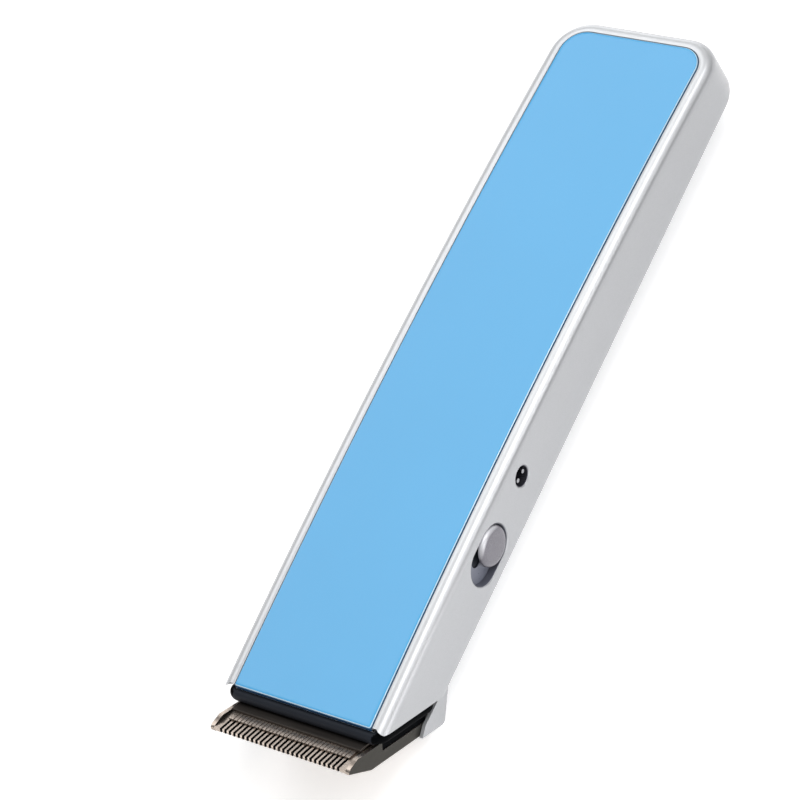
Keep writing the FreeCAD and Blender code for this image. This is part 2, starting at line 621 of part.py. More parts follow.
def fixed_blade():
    inside = [
        line_to("comb_block_back", "-comb_ledge"), line_to("comb_block_back", "-tray_floor"),
        line_to("comb_plate_back", "-tray_floor"), line_to("comb_plate_back", "-comb_bottom"),
        line_to("-bevel_back", "-comb_bottom"), line_to("-tip_reach + 0.25", "-tip_outer - 0.05"),
        line_to("-tip_reach", "-tip_outer + 0.3"), line_to("-tip_reach", comb_inner("-tip_reach")),
        line_to("-bend_line", "-comb_ledge"),
    ]
    comb = side_prism("comb_block", inside, "tray_half_width + 0.1")
    toothed(comb, "comb", "slot_pitch", "slot_count", "slot_width", "slot_root", "tip_reach")
    flange = [
        line_to("holder_front - 0.05", "-holder_shoulder - 0.05"),
        line_to("holder_front - 0.05", "-3.0"), line_to("-4.35", "-2.95"),
        line_to("-tip_reach + 0.4", "-tip_inner + 0.45"), line_to("-tip_reach", "-tip_inner - 0.1"),
        line_to("-tip_reach", "-tip_outer + 0.1"), line_to("-tip_reach + 0.4", "-tip_outer - 0.2"),
        line_to("-bevel_back", "-comb_bottom"), line_to("comb_plate_back - 1.2", "-comb_bottom"),
        line_to("comb_plate_back", "-comb_bottom + 0.7"), line_to("comb_plate_back + 0.4", "-5.3"),
        line_to("comb_plate_back + 1.3", "-holder_shoulder - 0.05"),
    ]
    sides = []
    for name, low, high in (("left", "-comb_half_width", "-tray_half_width - 0.05"),
                            ("right", "tray_half_width + 0.05", "comb_half_width")):
        side = prism(name + "_flange", "YZ_Plane", flange, low, high)
        outer = amount("comb_half_width")
        round_edges(side, name + "_bend", "bend_round",
                    lambda edge: abs(abs(middle(edge).x) - outer) < 0.01
                    and (middle(edge).z < -7.0 or (middle(edge).y < -1 and middle(edge).z < -5.2)))
        sides.append(side)
    holes = [rod(f"blade_hole{i}", "blade_screw_radius + 0.3", "z", "-comb_bottom - 1", "-tray_floor + 1",
                 x=f"{sign} * blade_screw_x", y="blade_screw_back") for i, sign in enumerate((-1, 1))]
    finish("fixed_blade", tilted(cut("comb_drilled", fuse("comb_solid", comb, *sides), *holes)))


def blade_screws():
    screws = [pan_screw(f"blade_screw{i}", "blade_screw_head", "0.5", "blade_screw_radius",
                        "-comb_bottom - 0.5", "-tray_floor + 2.6", f"{sign} * blade_screw_x",
                        "blade_screw_back") for i, sign in enumerate((-1, 1))]
    finish("blade_screws", tilted(group("blade_screws", *screws)))


def cutter_blade():
    """Bent sheet: a sloping toothed part on the comb, and a narrower base behind it."""
    def top(back):
        return f"-cutter_top + cutter_drop * (({back}) + bend_line)"
    front = [
        line_to("1.6", "-cutter_top"), line_to("1.6", "-cutter_top - cutter_sheet"),
        line_to("-bend_line", "-cutter_top - cutter_sheet"),
        line_to("-cutter_reach", f"{top('-cutter_reach')} - cutter_sheet"),
        line_to("-cutter_reach", top("-cutter_reach")), line_to("-bend_line", "-cutter_top"),
    ]
    teeth = side_prism("cutter_front", front, "cutter_half_width")
    toothed(teeth, "cutter", "cutter_slot_pitch", "cutter_slot_count", "cutter_slot_width",
            "cutter_slot_root", "cutter_reach")
    base = box("cutter_base", ("-cutter_base_half", "cutter_base_half"), ("1.3", "cutter_base_back"),
               ("-cutter_top - cutter_sheet", "-cutter_top"))
    holes = [rod(f"cutter_hole{i}", "rivet_radius", "z", "-cutter_top - 2", "-cutter_top + 1",
                 x=f"{sign} * rivet_x", y="rivet_back") for i, sign in enumerate((-1, 1))]
    finish("cutter_blade", tilted(cut("cutter_drilled", fuse("cutter_solid", teeth, base), *holes)))


def pressure_plate():
    """Dark sprung plate that keeps the cutter on the comb."""
    low, high = "-cutter_top + 0.03", "-cutter_top + 0.03 + plate_sheet"
    drop = "cutter_drop * (plate_reach - bend_line)"
    outline = [
        line_to("2.6", low), line_to("-bend_line", low), line_to("-plate_reach", f"{low} - {drop}"),
        line_to("-plate_reach", f"{high} - {drop}"), line_to("-bend_line", high), line_to("2.6", high),
    ]
    finish("pressure_plate", tilted(side_prism("plate_body", outline, "plate_half_width")))


def cutter_follower():
    """Plastic follower: a foot on the cutter's base and a yoke around the eccentric's pin."""
    foot = tilted(box("follower_foot", ("-yoke_half", "yoke_half"), ("3.6", "11.4"),
                      ("-cutter_top", "-foot_top")))
    yoke = box("yoke_block", ("-yoke_half", "yoke_half"), ("yoke_front", "yoke_back"),
               ("-yoke_bottom", "-yoke_top"))
    slot = box("yoke_slot", ("-yoke_slot_half", "yoke_slot_half"), ("yoke_front - 3", "yoke_back + 3"),
               ("-yoke_floor", "0"))
    holes = [tilted(rod(f"follower_hole{i}", "rivet_radius", "z", "-cutter_top - 1", "-foot_top + 1",
                        x=f"{sign} * rivet_x", y="rivet_back")) for i, sign in enumerate((-1, 1))]
    trimmed = cut("follower_trim", fuse("follower_solid", foot, yoke), slot, *holes)
    finish("cutter_follower", trimmed)


def follower_rivets():
    rivets = []
    for index, sign in enumerate((-1, 1)):
        place = {"x": f"{sign} * rivet_x", "y": "rivet_back"}
        shank = rod(f"rivet_shank{index}", "rivet_radius", "z", "-cutter_top - cutter_sheet", "-foot_top",
                    **place)
        head = rod(f"rivet_head{index}", "rivet_head", "z", "-foot_top", "-foot_top + 0.4", **place)
        rivets.append(fuse(f"rivet{index}", shank, head))
    finish("follower_rivets", tilted(group("follower_rivets", *rivets)))


# ---------------------------------------------------------------- drive

def flat_sided(name, radius, half_height, start, end):
    """A round bar along the motor's axis with flats above and below."""
    return common(name, rod(name + "_round", radius, "y", start, end, z="motor_z"),
                  box(name + "_flats", ("-8", "8"), (start, end),
                      (f"motor_z - ({half_height})", f"motor_z + ({half_height})")))


def along_motor(name, radius, start, end, **place):
    place.setdefault("z", "motor_z")
    return rod(name, radius, "y", start, end, **place)


def terminal_strip(name, sign, start, end):
    """One of the motor's two flat terminals, or the slot that it passes through."""
    middle_x = f"{sign} * terminal_x"
    return box(name, (f"{middle_x} - terminal_half", f"{middle_x} + terminal_half"), (start, end),
               ("motor_z - terminal_sheet", "motor_z + terminal_sheet"))


def motor():
    can = cut("can_cut", flat_sided("can_outside", "motor_radius", "motor_half_height", "motor_front",
                                    "motor_back"),
              flat_sided("can_inside", "motor_radius - can_wall", "motor_half_height - can_wall",
                         "motor_front + can_wall", "motor_back + 1"),
              along_motor("can_nose_hole", "bush_radius", "motor_front - 1", "motor_front + 1"))
    finish("motor_can", can)
    bell = cut("bell_cut", flat_sided("bell_outside", "motor_radius", "motor_half_height", "motor_back",
                                      "bell_back"),
               along_motor("bell_hole", "bush_radius", "motor_back - 1", "bell_back + 1"),
               *[terminal_strip(f"bell_slot{i}", sign, "motor_back - 1", "bell_back + 1")
                 for i, sign in enumerate((-1, 1))])
    finish("motor_end_bell", bell)
    terminals = [terminal_strip(f"terminal{i}", sign, "motor_back", "bell_back + terminal_reach")
                 for i, sign in enumerate((-1, 1))]
    finish("motor_terminals", group("terminals", *terminals))
    for node, start, end in (("front_bush", "motor_front - 1", "motor_front + 1.2"),
                             ("rear_bush", "motor_back + 0.4", "bell_back")):
        finish(node, cut(node + "_cut", along_motor(node + "_blank", "bush_radius", start, end),
                         along_motor(node + "_bore", "bush_bore", f"{start} - 1", f"{end} + 1")))
    ring = cut("magnet_ring", flat_sided("magnet_outside", "motor_radius - can_wall",
                                         "motor_half_height - can_wall", "motor_front + 1.6",
                                         "magnet_back"),
               along_motor("magnet_inside", "armature_radius + 0.3", "0", "40"),
               box("magnet_gap", ("-3", "3"), ("0", "40"), ("-20", "5")))
    finish("motor_magnets", ring)
    bearing = along_motor("armature_bore", "shaft_radius", "0", "40")
    slots = [box(f"armature_slot{i}", ("-armature_slot", "armature_slot"), ("0", "40"),
                 ("armature_root", "armature_radius + 2")) for i in range(3)]
    for index, slot in enumerate(slots):
        turn = FreeCAD.Rotation(FreeCAD.Vector(0, 1, 0), 120 * index)
        slot.Placement = FreeCAD.Placement(FreeCAD.Vector(), turn)
        bind(slot, "Placement.Base.x",
             f"armature_root * sin({120 * index}) - armature_slot * cos({120 * index})")
        bind(slot, "Placement.Base.z", f"motor_z + armature_root * cos({120 * index})"
                                       f" + armature_slot * sin({120 * index})")
    finish("armature", cut("armature_cut", along_motor("armature_core", "armature_radius",
                                                       "armature_front", "armature_back"), bearing, *slots))
    finish("commutator", cut("commutator_cut", along_motor("commutator_blank", "commutator_radius",
                                                           "commutator_front", "commutator_back"),
                             along_motor("commutator_bore", "shaft_radius", "0", "40")))
    brushes = [box(f"brush{i}", (low, high), ("commutator_front + 0.6", "motor_back"),
                   ("motor_z - 0.6", "motor_z + 0.6"))
               for i, (low, high) in enumerate((("-brush_outer", "-brush_inner"),
                                                ("brush_inner", "brush_outer")))]
    finish("motor_brushes", group("brushes", *brushes))
    finish("motor_shaft", along_motor("shaft", "shaft_radius", "cam_front + 0.6", "bell_back - 0.2"))
    hub = fuse("cam_solid", along_motor("cam_hub", "cam_radius", "cam_front", "cam_back"),
               along_motor("cam_pin", "pin_radius", "pin_front", "cam_front + 0.3",
                           z="motor_z + eccentricity"))
    finish("eccentric_cam", cut("cam_cut", hub, along_motor("cam_bore", "shaft_radius",
                                                            "cam_front + 0.6", "cam_back + 1")))


def motor_cradle():
    low, high = "-cradle_low", "-cradle_high"
    plate = box("cradle_plate", ("-cradle_half_width", "cradle_half_width"),
                ("cradle_front", "cradle_front + 1.2"), (low, high))
    added = [plate]
    holes = [along_motor("cradle_hole", "bush_radius + 0.3", "10", "cradle_front + 2")]
    for index, sign in enumerate((-1, 1)):
        near, far = sorted((f"{sign} * (motor_radius + 0.15)", f"{sign} * cradle_half_width"), key=amount)
        added.append(box(f"cradle_rail{index}", (near, far), ("cradle_front", "32.9"), (low, high)))
        ends = (f"{sign} * (cradle_half_width - 0.3)", f"{sign} * cradle_ear_reach")
        inner, outer = sorted(ends, key=amount)
        added.append(box(f"cradle_ear{index}", (inner, outer), ("cradle_post_y - 1.8", "cradle_post_y + 1.8"),
                         ("-cradle_post_foot - 1.5", "-cradle_post_foot")))
        holes.append(rod(f"cradle_screw_hole{index}", "cradle_screw_radius + 0.15", "z", "-6", "0",
                         x=f"{sign} * cradle_post_x", y="cradle_post_y"))
    finish("motor_cradle", cut("cradle_cut", fuse("cradle_solid", *added), *holes))
    screws = [pan_screw(f"cradle_screw{i}", "1.3", "0.9", "cradle_screw_radius", "-cradle_post_foot - 2.4",
                        "-cradle_post_foot + 1.1", f"{sign} * cradle_post_x", "cradle_post_y")
              for i, sign in enumerate((-1, 1))]
    finish("cradle_screws", group("cradle_screws", *screws))


# ---------------------------------------------------------------- switch

def switch():
    body = cut("switch_cut", box("switch_block", ("switch_inner", "switch_outer"),
                                 ("switch_front", "switch_back"), ("board_top", "-switch_top")),
               box("lever_slot", ("lever_root - 0.2", "switch_outer + 0.6"),
                   ("switch_y - switch_travel - 1.3", "switch_y + 1.3"),
                   ("switch_z - lever_half - 0.2", "switch_z + lever_half + 0.2")))
    finish("slide_switch_body", body)
    finish("slide_switch_lever", box("lever", ("lever_root", "lever_reach"),
                                     ("switch_y - 1", "switch_y + 1"),
                                     ("switch_z - lever_half", "switch_z + lever_half")))
    pins = [rod(f"switch_pin{i}", "switch_pin_radius", "z", "board_top - board_thickness - 0.9",
                "board_top", x="switch_pin_x", y=f"switch_pin_y + {i} * switch_pin_pitch")
            for i in range(3)]
    finish("switch_pins", group("switch_pins", *pins))
    disc = prism("knob_disc", "YZ_Plane", rounded_rectangle(
        "switch_y - knob_radius", "switch_y + knob_radius", "switch_z - knob_radius",
        "switch_z + knob_radius", "knob_radius - 0.01"), "knob_back", "knob_face")
    face = amount("knob_face")
    round_edges(disc, "knob_edge", "0.5", lambda edge: abs(middle(edge).x - face) < 0.01
                and edge.BoundBox.XLength < 0.01)
    stem = rod("knob_stem", "stem_radius", "x", "lever_reach", "knob_back + 0.2", y="switch_y",
               z="switch_z")
    finish("switch_knob", fuse("knob_solid", disc, stem))
    plate = box("recess_plate", ("recess_back", "case_width / 2 - side_wall"),
                ("switch_y - switch_travel - recess_margin", "switch_y + recess_margin"),
                ("switch_z - recess_low", "switch_z + recess_high"))
    stem_slot = slot_through("stem_slot", "stem_radius + 0.25", "recess_back - 1", "recess_back + 1")
    finish("switch_recess", cut("recess_cut", plate, stem_slot))


# ---------------------------------------------------------------- charging and power

def charging_inlet():
    block = box("socket_block", ("socket_inner", "case_width / 2 - side_wall"),
                ("inlet_y - socket_half", "inlet_y + socket_half"), ("board_top", "-socket_top"))
    bore = rod("socket_bore", "inlet_radius", "x", "socket_floor", "20", y="inlet_y", z="inlet_z")
    places = [f"inlet_y + {sign} * contact_offset" for sign in (-1, 1)]
    seats = [box(f"contact_seat{i}", ("8", "11"), (f"{y} - contact_tail", f"{y} + contact_tail"),
                 ("inlet_z - contact_tail", "inlet_z + contact_tail"))
             for i, y in enumerate(places)]
    finish("charge_socket", cut("socket_cut", block, bore, *seats))
    pins = []
    for index, y in enumerate(places):
        root = box(f"contact_root{index}", ("contact_root", "socket_floor + 0.2"),
                   (f"{y} - contact_tail", f"{y} + contact_tail"),
                   ("inlet_z - contact_tail", "inlet_z + contact_tail"))
        tip = rod(f"contact_tip{index}", "contact_radius", "x", "socket_floor", "contact_tip",
                  y=y, z="inlet_z")
        pins.append(fuse(f"charge_pin{index}", root, tip))
    finish("charge_pins", group("charge_pins", *pins))


def circuit_board():
    low, high = "board_top - board_thickness", "board_top"
    plate = box("board_plate", ("-board_left", "board_right"), ("board_front", "board_back"), (low, high))
    holes = [rod(f"board_hole{i}", "board_pilot_radius + 0.15", "z", f"{low} - 1", f"{high} + 1",
                 x="-board_post_x", y=y) for i, y in enumerate(BOARD_SCREW_Y)]
    holes += [rod(f"pin_hole{i}", "switch_pin_radius", "z", f"{low} - 1", f"{high} + 1",
                  x="switch_pin_x", y=f"switch_pin_y + {i} * switch_pin_pitch") for i in range(3)]
    finish("circuit_board", cut("board_cut", plate, *holes))
    screws = [pan_screw(f"board_screw{i}", "1.4", "0.9", "board_pilot_radius", f"{low} - 0.9",
                        f"{high} + 3", "-board_post_x", y) for i, y in enumerate(BOARD_SCREW_Y)]
    finish("board_screws", group("board_screws", *screws))
    for node, name, wire in (("charge_diode", "diode", "0.3"), ("charge_resistor", "resistor", "0.25")):
        place = {"y": f"{name}_y", "z": f"board_top + {name}_radius"}
        body = rod(name + "_body", name + "_radius", "x", "-component_half", "component_half", **place)
        wires = rod(name + "_leads", wire, "x", "-component_half - 1.6", "component_half + 1.6", **place)
        finish(node, fuse(name, body, wires))
    finish("smoothing_capacitor", rod("capacitor", "capacitor_radius", "z", "board_top",
                                      "board_top + capacitor_height", x="-capacitor_x", y="capacitor_y"))


def battery():
    cell = fuse("cell_solid", rod("cell_can", "cell_radius", "y", "cell_front", "cell_back", z="cell_z"),
                rod("cell_button", "button_radius", "y", "cell_back", "cell_back + button_height",
                    z="cell_z"))
    finish("battery_cell", cell)
    seat = "cell_back + button_height"
    finish("positive_tab", box("positive_strip", ("-tab_half", "tab_half"), (seat, f"{seat} + tab_sheet"),
                               ("cell_z - 3.63", "cell_z + 1.37")))
    finish("negative_tab", box("negative_strip", ("-tab_half", "tab_half"),
                               ("cell_front - tab_sheet", "cell_front"), ("cell_z - 2.03", "cell_z + 2.17")))
    finish("battery_pad", box("pad_block", ("-pad_half", "pad_half"),
                              (f"{seat} + tab_sheet + 0.1", "pad_wall_front - 0.1"),
                              ("cell_z - 2.33", "cell_z + 3.57")))


def lead(node, points):
    """An insulated lead along straight runs joined by arcs, as one round tube."""
    path = [FreeCAD.Vector(*(amount(text) for text in point)) for point in points]
    edges = []
    start = path[0]
    for before, corner, after in zip(path, path[1:], path[2:]):
        inward, outward = (before - corner).normalize(), (after - corner).normalize()
        half = inward.getAngle(outward) / 2
        shorter = min((before - corner).Length, (after - corner).Length)
        reach = min(amount("lead_bend") / math.tan(half), 0.45 * shorter)
        bulge = reach * math.tan(half)
        centre = corner + (inward + outward).normalize() * (bulge / math.sin(half))
        inside = centre + (corner - centre).normalize() * bulge
        begin, end = corner + inward * reach, corner + outward * reach
        edges += [Part.LineSegment(start, begin).toShape(), Part.Arc(begin, inside, end).toShape()]
        start = end
    edges.append(Part.LineSegment(start, path[-1]).toShape())
    spine = Part.Wire(edges)
    heading = (path[1] - path[0]).normalize()
    ring = Part.Wire([Part.Circle(path[0], heading, amount("lead_radius")).toShape()])
    tube = document.addObject("Part::Feature", node + "_tube")
    tube.Shape = spine.makePipeShell([ring], True, True)
    expected = math.pi * amount("lead_radius") ** 2 * spine.Length
    print(node, "length", round(spine.Length, 1), "volume ratio", round(tube.Shape.Volume / expected, 3))
    finish(node, tube)


def leads():
    on_board = "board_top + lead_radius"
    tip = "bell_back + terminal_reach"
    lead("motor_lead_red", [("terminal_x", tip, "motor_z"), ("terminal_x", "39", "motor_z"),
                            ("5.4", "42", on_board), ("10.2", "42", on_board)])
    lead("motor_lead_black", [("-terminal_x", tip, "motor_z"), ("-terminal_x", "39", "motor_z"),
                              ("-6", "41.4", on_board), ("-6", "48", on_board)])
    lead("battery_lead_red", [("2.2", "cell_back + 0.9", "-8.6"), ("7.6", "cell_back + 0.9", "-8.6"),
                              ("7.6", "64", "-8.6"), ("7.6", "59.6", on_board), ("7.6", "54", on_board)])
    lead("battery_lead_black", [("-1.2", "cell_front - 0.7", on_board), ("-5", "cell_front - 0.7", on_board),
                                ("-7", "55.4", on_board), ("-7", "50.6", on_board)])


# ---------------------------------------------------------------- build, place, check, write

for build in (main_housing, front_panel, rear_cover, housing_screws, blade_holder, fixed_blade,
              blade_screws, cutter_blade, pressure_plate, cutter_follower, follower_rivets, motor,
              motor_cradle, switch, charging_inlet, circuit_board, battery, leads):
    build()
document.recompute()

whole = FreeCAD.BoundBox()
for solid in parts.values():
    extent = solid.Shape.optimalBoundingBox(False)
    whole.add(extent)
print("case frame box", whole)
for alias, shift in (("origin_shift_y", -(whole.YMin + whole.YMax) / 2), ("origin_shift_z", -whole.ZMin)):
    sizes.set(CELL[alias], f"{shift:.6f}")
document.recompute()
print("origin shift", amount("origin_shift_y"), amount("origin_shift_z"))

for item in document.Objects:
    if "Invalid" in item.State or "Error" in item.State:
        raise RuntimeError(f"{item.Name} failed: {item.State}")
for node, solid in parts.items():
    if solid.Shape.isNull() or not solid.Shape.isValid():
        raise RuntimeError(f"{node} has a null or invalid shape")
    print(f"{node:20s} solids {len(solid.Shape.Solids)} volume {solid.Shape.Volume:9.1f}")

os.makedirs("parts", exist_ok=True)
for node, solid in parts.items():
    solid.Shape.exportStep(f"parts/{node}.step")
print(len(parts), "sub-parts written")
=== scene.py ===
import json
import math

import bmesh
import bpy
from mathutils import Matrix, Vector


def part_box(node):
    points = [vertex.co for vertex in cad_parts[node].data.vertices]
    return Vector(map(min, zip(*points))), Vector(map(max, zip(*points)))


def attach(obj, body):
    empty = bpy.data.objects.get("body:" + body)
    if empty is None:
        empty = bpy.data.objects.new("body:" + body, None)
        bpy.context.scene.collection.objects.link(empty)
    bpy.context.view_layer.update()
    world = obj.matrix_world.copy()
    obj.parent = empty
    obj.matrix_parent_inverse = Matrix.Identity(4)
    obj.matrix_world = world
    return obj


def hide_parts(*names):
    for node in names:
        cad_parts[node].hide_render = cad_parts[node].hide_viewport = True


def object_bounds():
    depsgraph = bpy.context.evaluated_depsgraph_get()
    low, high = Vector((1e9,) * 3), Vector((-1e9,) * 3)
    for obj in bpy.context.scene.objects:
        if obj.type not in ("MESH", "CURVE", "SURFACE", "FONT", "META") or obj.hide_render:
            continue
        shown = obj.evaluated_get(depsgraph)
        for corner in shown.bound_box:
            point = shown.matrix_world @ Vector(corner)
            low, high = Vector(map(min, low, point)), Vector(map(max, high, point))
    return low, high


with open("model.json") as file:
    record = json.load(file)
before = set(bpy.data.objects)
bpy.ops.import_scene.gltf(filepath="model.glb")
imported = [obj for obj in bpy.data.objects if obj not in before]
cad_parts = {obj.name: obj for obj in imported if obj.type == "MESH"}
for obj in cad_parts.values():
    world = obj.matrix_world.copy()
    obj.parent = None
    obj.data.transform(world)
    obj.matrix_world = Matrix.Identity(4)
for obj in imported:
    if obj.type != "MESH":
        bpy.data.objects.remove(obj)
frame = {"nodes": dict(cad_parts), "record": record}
cad_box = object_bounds()
MM = 0.001

# ---------------------------------------------------------------- camera

# The camera stands beyond the switch side and the head end, above the front panel.
CAMERA_PLACE = (0.315216, -0.194240, 0.466909)
CAMERA_TURN = (32.9429, 24.0303, 28.1750)
CAMERA_LENS = 143.705


def add_camera():
    data = bpy.data.cameras.new("camera")
    data.lens = CAMERA_LENS
    data.sensor_width = 36.0
    data.clip_start = 0.01
    data.clip_end = 20.0
    camera = bpy.data.objects.new("camera", data)
    camera.location = CAMERA_PLACE
    camera.rotation_euler = [math.radians(angle) for angle in CAMERA_TURN]
    bpy.context.scene.collection.objects.link(camera)
    bpy.context.scene.camera = camera


# ---------------------------------------------------------------- materials

def srgb(red, green, blue):
    """Linear colour of an 8-bit display colour."""
    return tuple(((c / 255 + 0.055) / 1.055) ** 2.4 if c > 10 else c / 255 / 12.92
                 for c in (red, green, blue)) + (1.0,)


class Surface:
    """A material built from a few noise layers over one principled shader."""

    def __init__(self, name, **sockets):
        self.material = bpy.data.materials.new(name)
        self.material.use_nodes = True
        self.nodes = self.material.node_tree.nodes
        self.links = self.material.node_tree.links
        self.shader = self.nodes["Principled BSDF"]
        for socket, value in sockets.items():
            self.shader.inputs[socket.replace("_", " ")].default_value = value
        self.place = self.nodes.new("ShaderNodeTexCoord")
        self.last_bump = None

    def stretched(self, scale, stretch):
        """Object coordinates, scaled differently along each axis."""
        mapping = self.nodes.new("ShaderNodeMapping")
        mapping.inputs["Scale"].default_value = [scale * s for s in stretch]
        self.links.new(self.place.outputs["Object"], mapping.inputs["Vector"])
        return mapping.outputs["Vector"]

    def noise(self, scale, stretch=(1, 1, 1), detail=3.0):
        noise = self.nodes.new("ShaderNodeTexNoise")
        noise.inputs["Scale"].default_value = 1.0
        noise.inputs["Detail"].default_value = detail
        noise.inputs["Roughness"].default_value = 0.5
        self.links.new(self.stretched(scale, stretch), noise.inputs["Vector"])
        return noise.outputs["Fac"]

    def cells(self, scale, stretch=(1, 1, 1)):
        cells = self.nodes.new("ShaderNodeTexVoronoi")
        cells.inputs["Scale"].default_value = 1.0
        self.links.new(self.stretched(scale, stretch), cells.inputs["Vector"])
        return cells.outputs["Distance"]

    def upward(self):
        """How far each spot faces up: 1 flat, 0 upright."""
        parts = self.nodes.new("ShaderNodeSeparateXYZ")
        self.links.new(self.place.outputs["Normal"], parts.inputs["Vector"])
        return parts.outputs["Z"]

    def total(self, first, second):
        addition = self.nodes.new("ShaderNodeMath")
        self.links.new(first, addition.inputs[0])
        self.links.new(second, addition.inputs[1])
        return addition.outputs["Value"]

    def spread(self, source, low, high, start=0.3, end=0.7):
        """Spreads a 0 to 1 pattern between two numbers."""
        span = self.nodes.new("ShaderNodeMapRange")
        ends = {"From Min": start, "From Max": end, "To Min": low, "To Max": high}
        for socket, value in ends.items():
            span.inputs[socket].default_value = value
        self.links.new(source, span.inputs["Value"])
        return span.outputs["Result"]

    def tint(self, source, dark, light, start=0.3, end=0.7):
        """Colours the surface between two colours by a pattern."""
        ramp = self.nodes.new("ShaderNodeValToRGB")
        ramp.color_ramp.elements[0].position = start
        ramp.color_ramp.elements[0].color = dark
        ramp.color_ramp.elements[1].position = end
        ramp.color_ramp.elements[1].color = light
        self.links.new(source, ramp.inputs["Fac"])
        self.links.new(ramp.outputs["Color"], self.shader.inputs["Base Color"])

    def gloss(self, source, low, high, start=0.3, end=0.7):
        self.links.new(self.spread(source, low, high, start, end), self.shader.inputs["Roughness"])

    def relief(self, source, height, strength=0.5):
        """Adds a bump of a real height, in metres, on top of any there is."""
        bump = self.nodes.new("ShaderNodeBump")
        bump.inputs["Strength"].default_value = strength
        bump.inputs["Distance"].default_value = height
        self.links.new(source, bump.inputs["Height"])
        if self.last_bump:
            self.links.new(self.last_bump.outputs["Normal"], bump.inputs["Normal"])
        self.links.new(bump.outputs["Normal"], self.shader.inputs["Normal"])
        self.last_bump = bump


def around(colour, change):
    """The same colour a little darker and a little lighter."""
    dark = tuple(c * (1 - change) for c in colour[:3]) + (1.0,)
    light = tuple(min(c * (1 + change), 1.0) for c in colour[:3]) + (1.0,)
    return dark, light


def lacquer_and_painted_highlight(name, edge_on, upward_highlight_colour, turn=(0.58, 0.92)):
    """Flake-lacquered plastic with a painted highlight: upright faces have the first colour and upward ones
    the second, lighter one; the change is partly the flakes' flop and partly painted light from above.
    """
    surface = Surface(name, Metallic=0.4, Coat_Weight=0.35, Coat_Roughness=0.18)
    flakes = surface.cells(9000)
    sparkle = surface.spread(flakes, -0.05, 0.05, 0.1, 0.7)
    # Painted highlight: the more a face turns up, the lighter its colour.
    upward = surface.spread(surface.upward(), 0.05, 0.95, *turn)
    surface.tint(surface.total(upward, sparkle), edge_on, upward_highlight_colour, start=0.0, end=1.0)
    surface.gloss(surface.noise(900), 0.32, 0.4)
    surface.relief(flakes, 2e-6, 0.25)
    surface.relief(surface.noise(450), 4e-6, 0.2)
    return surface.material


def gloss_plastic(name, colour, rough=(0.10, 0.16), change=0.012):
    """Smooth plastic with a faint waviness."""
    surface = Surface(name, Coat_Weight=0.2, Coat_Roughness=0.06)
    surface.tint(surface.noise(40), *around(colour, change))
    surface.gloss(surface.noise(300), *rough)
    surface.relief(surface.noise(160), 3e-6, 0.12)
    return surface.material


def moulded(name, colour, rough=(0.38, 0.52), change=0.06, shine=0.5):
    """Plain moulded plastic with a fine spark-eroded grain."""
    surface = Surface(name, Specular_IOR_Level=shine)
    surface.tint(surface.noise(120), *around(colour, change))
    surface.gloss(surface.noise(700), *rough)
    surface.relief(surface.noise(3500, detail=5), 6e-6, 0.35)
    return surface.material


def brushed(name, colour, along, rough=(0.22, 0.36), metallic=1.0):
    """Metal with fine grinding marks along one direction."""
    surface = Surface(name, Metallic=metallic)
    marks = surface.noise(5200, [0.02 if axis in along else 1.0 for axis in "xyz"], detail=4)
    broad = surface.noise(260, [0.12 if axis in along else 1.0 for axis in "xyz"])
    surface.tint(broad, *around(colour, 0.10))
    surface.gloss(marks, *rough)
    surface.relief(marks, 3e-6, 0.4)
    return surface.material


def cast(name, colour, rough=(0.55, 0.75), metallic=0.0, grain=2e-5):
    """Sintered or cast material with a coarse grain."""
    surface = Surface(name, Metallic=metallic)
    surface.tint(surface.noise(900, detail=6), *around(colour, 0.2))
    surface.gloss(surface.noise(1500), *rough)
    surface.relief(surface.noise(2200, detail=6), grain, 0.5)
    return surface.material


def foam(name, colour):
    """Open foam rubber with dark pores."""
    surface = Surface(name, Roughness=0.9)
    pores = surface.cells(1800)
    surface.tint(pores, *around(colour, 0.4), start=0.0, end=0.6)
    surface.relief(pores, 1.5e-4, 0.8)
    return surface.material


def board(name, colour):
    """Circuit board: green resist over broad darker tracks."""
    surface = Surface(name, Roughness=0.3, Coat_Weight=0.3)
    tracks = surface.cells(260, (1, 1, 0))
    surface.tint(tracks, *around(colour, 0.35), start=0.35, end=0.42)
    surface.relief(tracks, 3e-5, 0.3)
    return surface.material


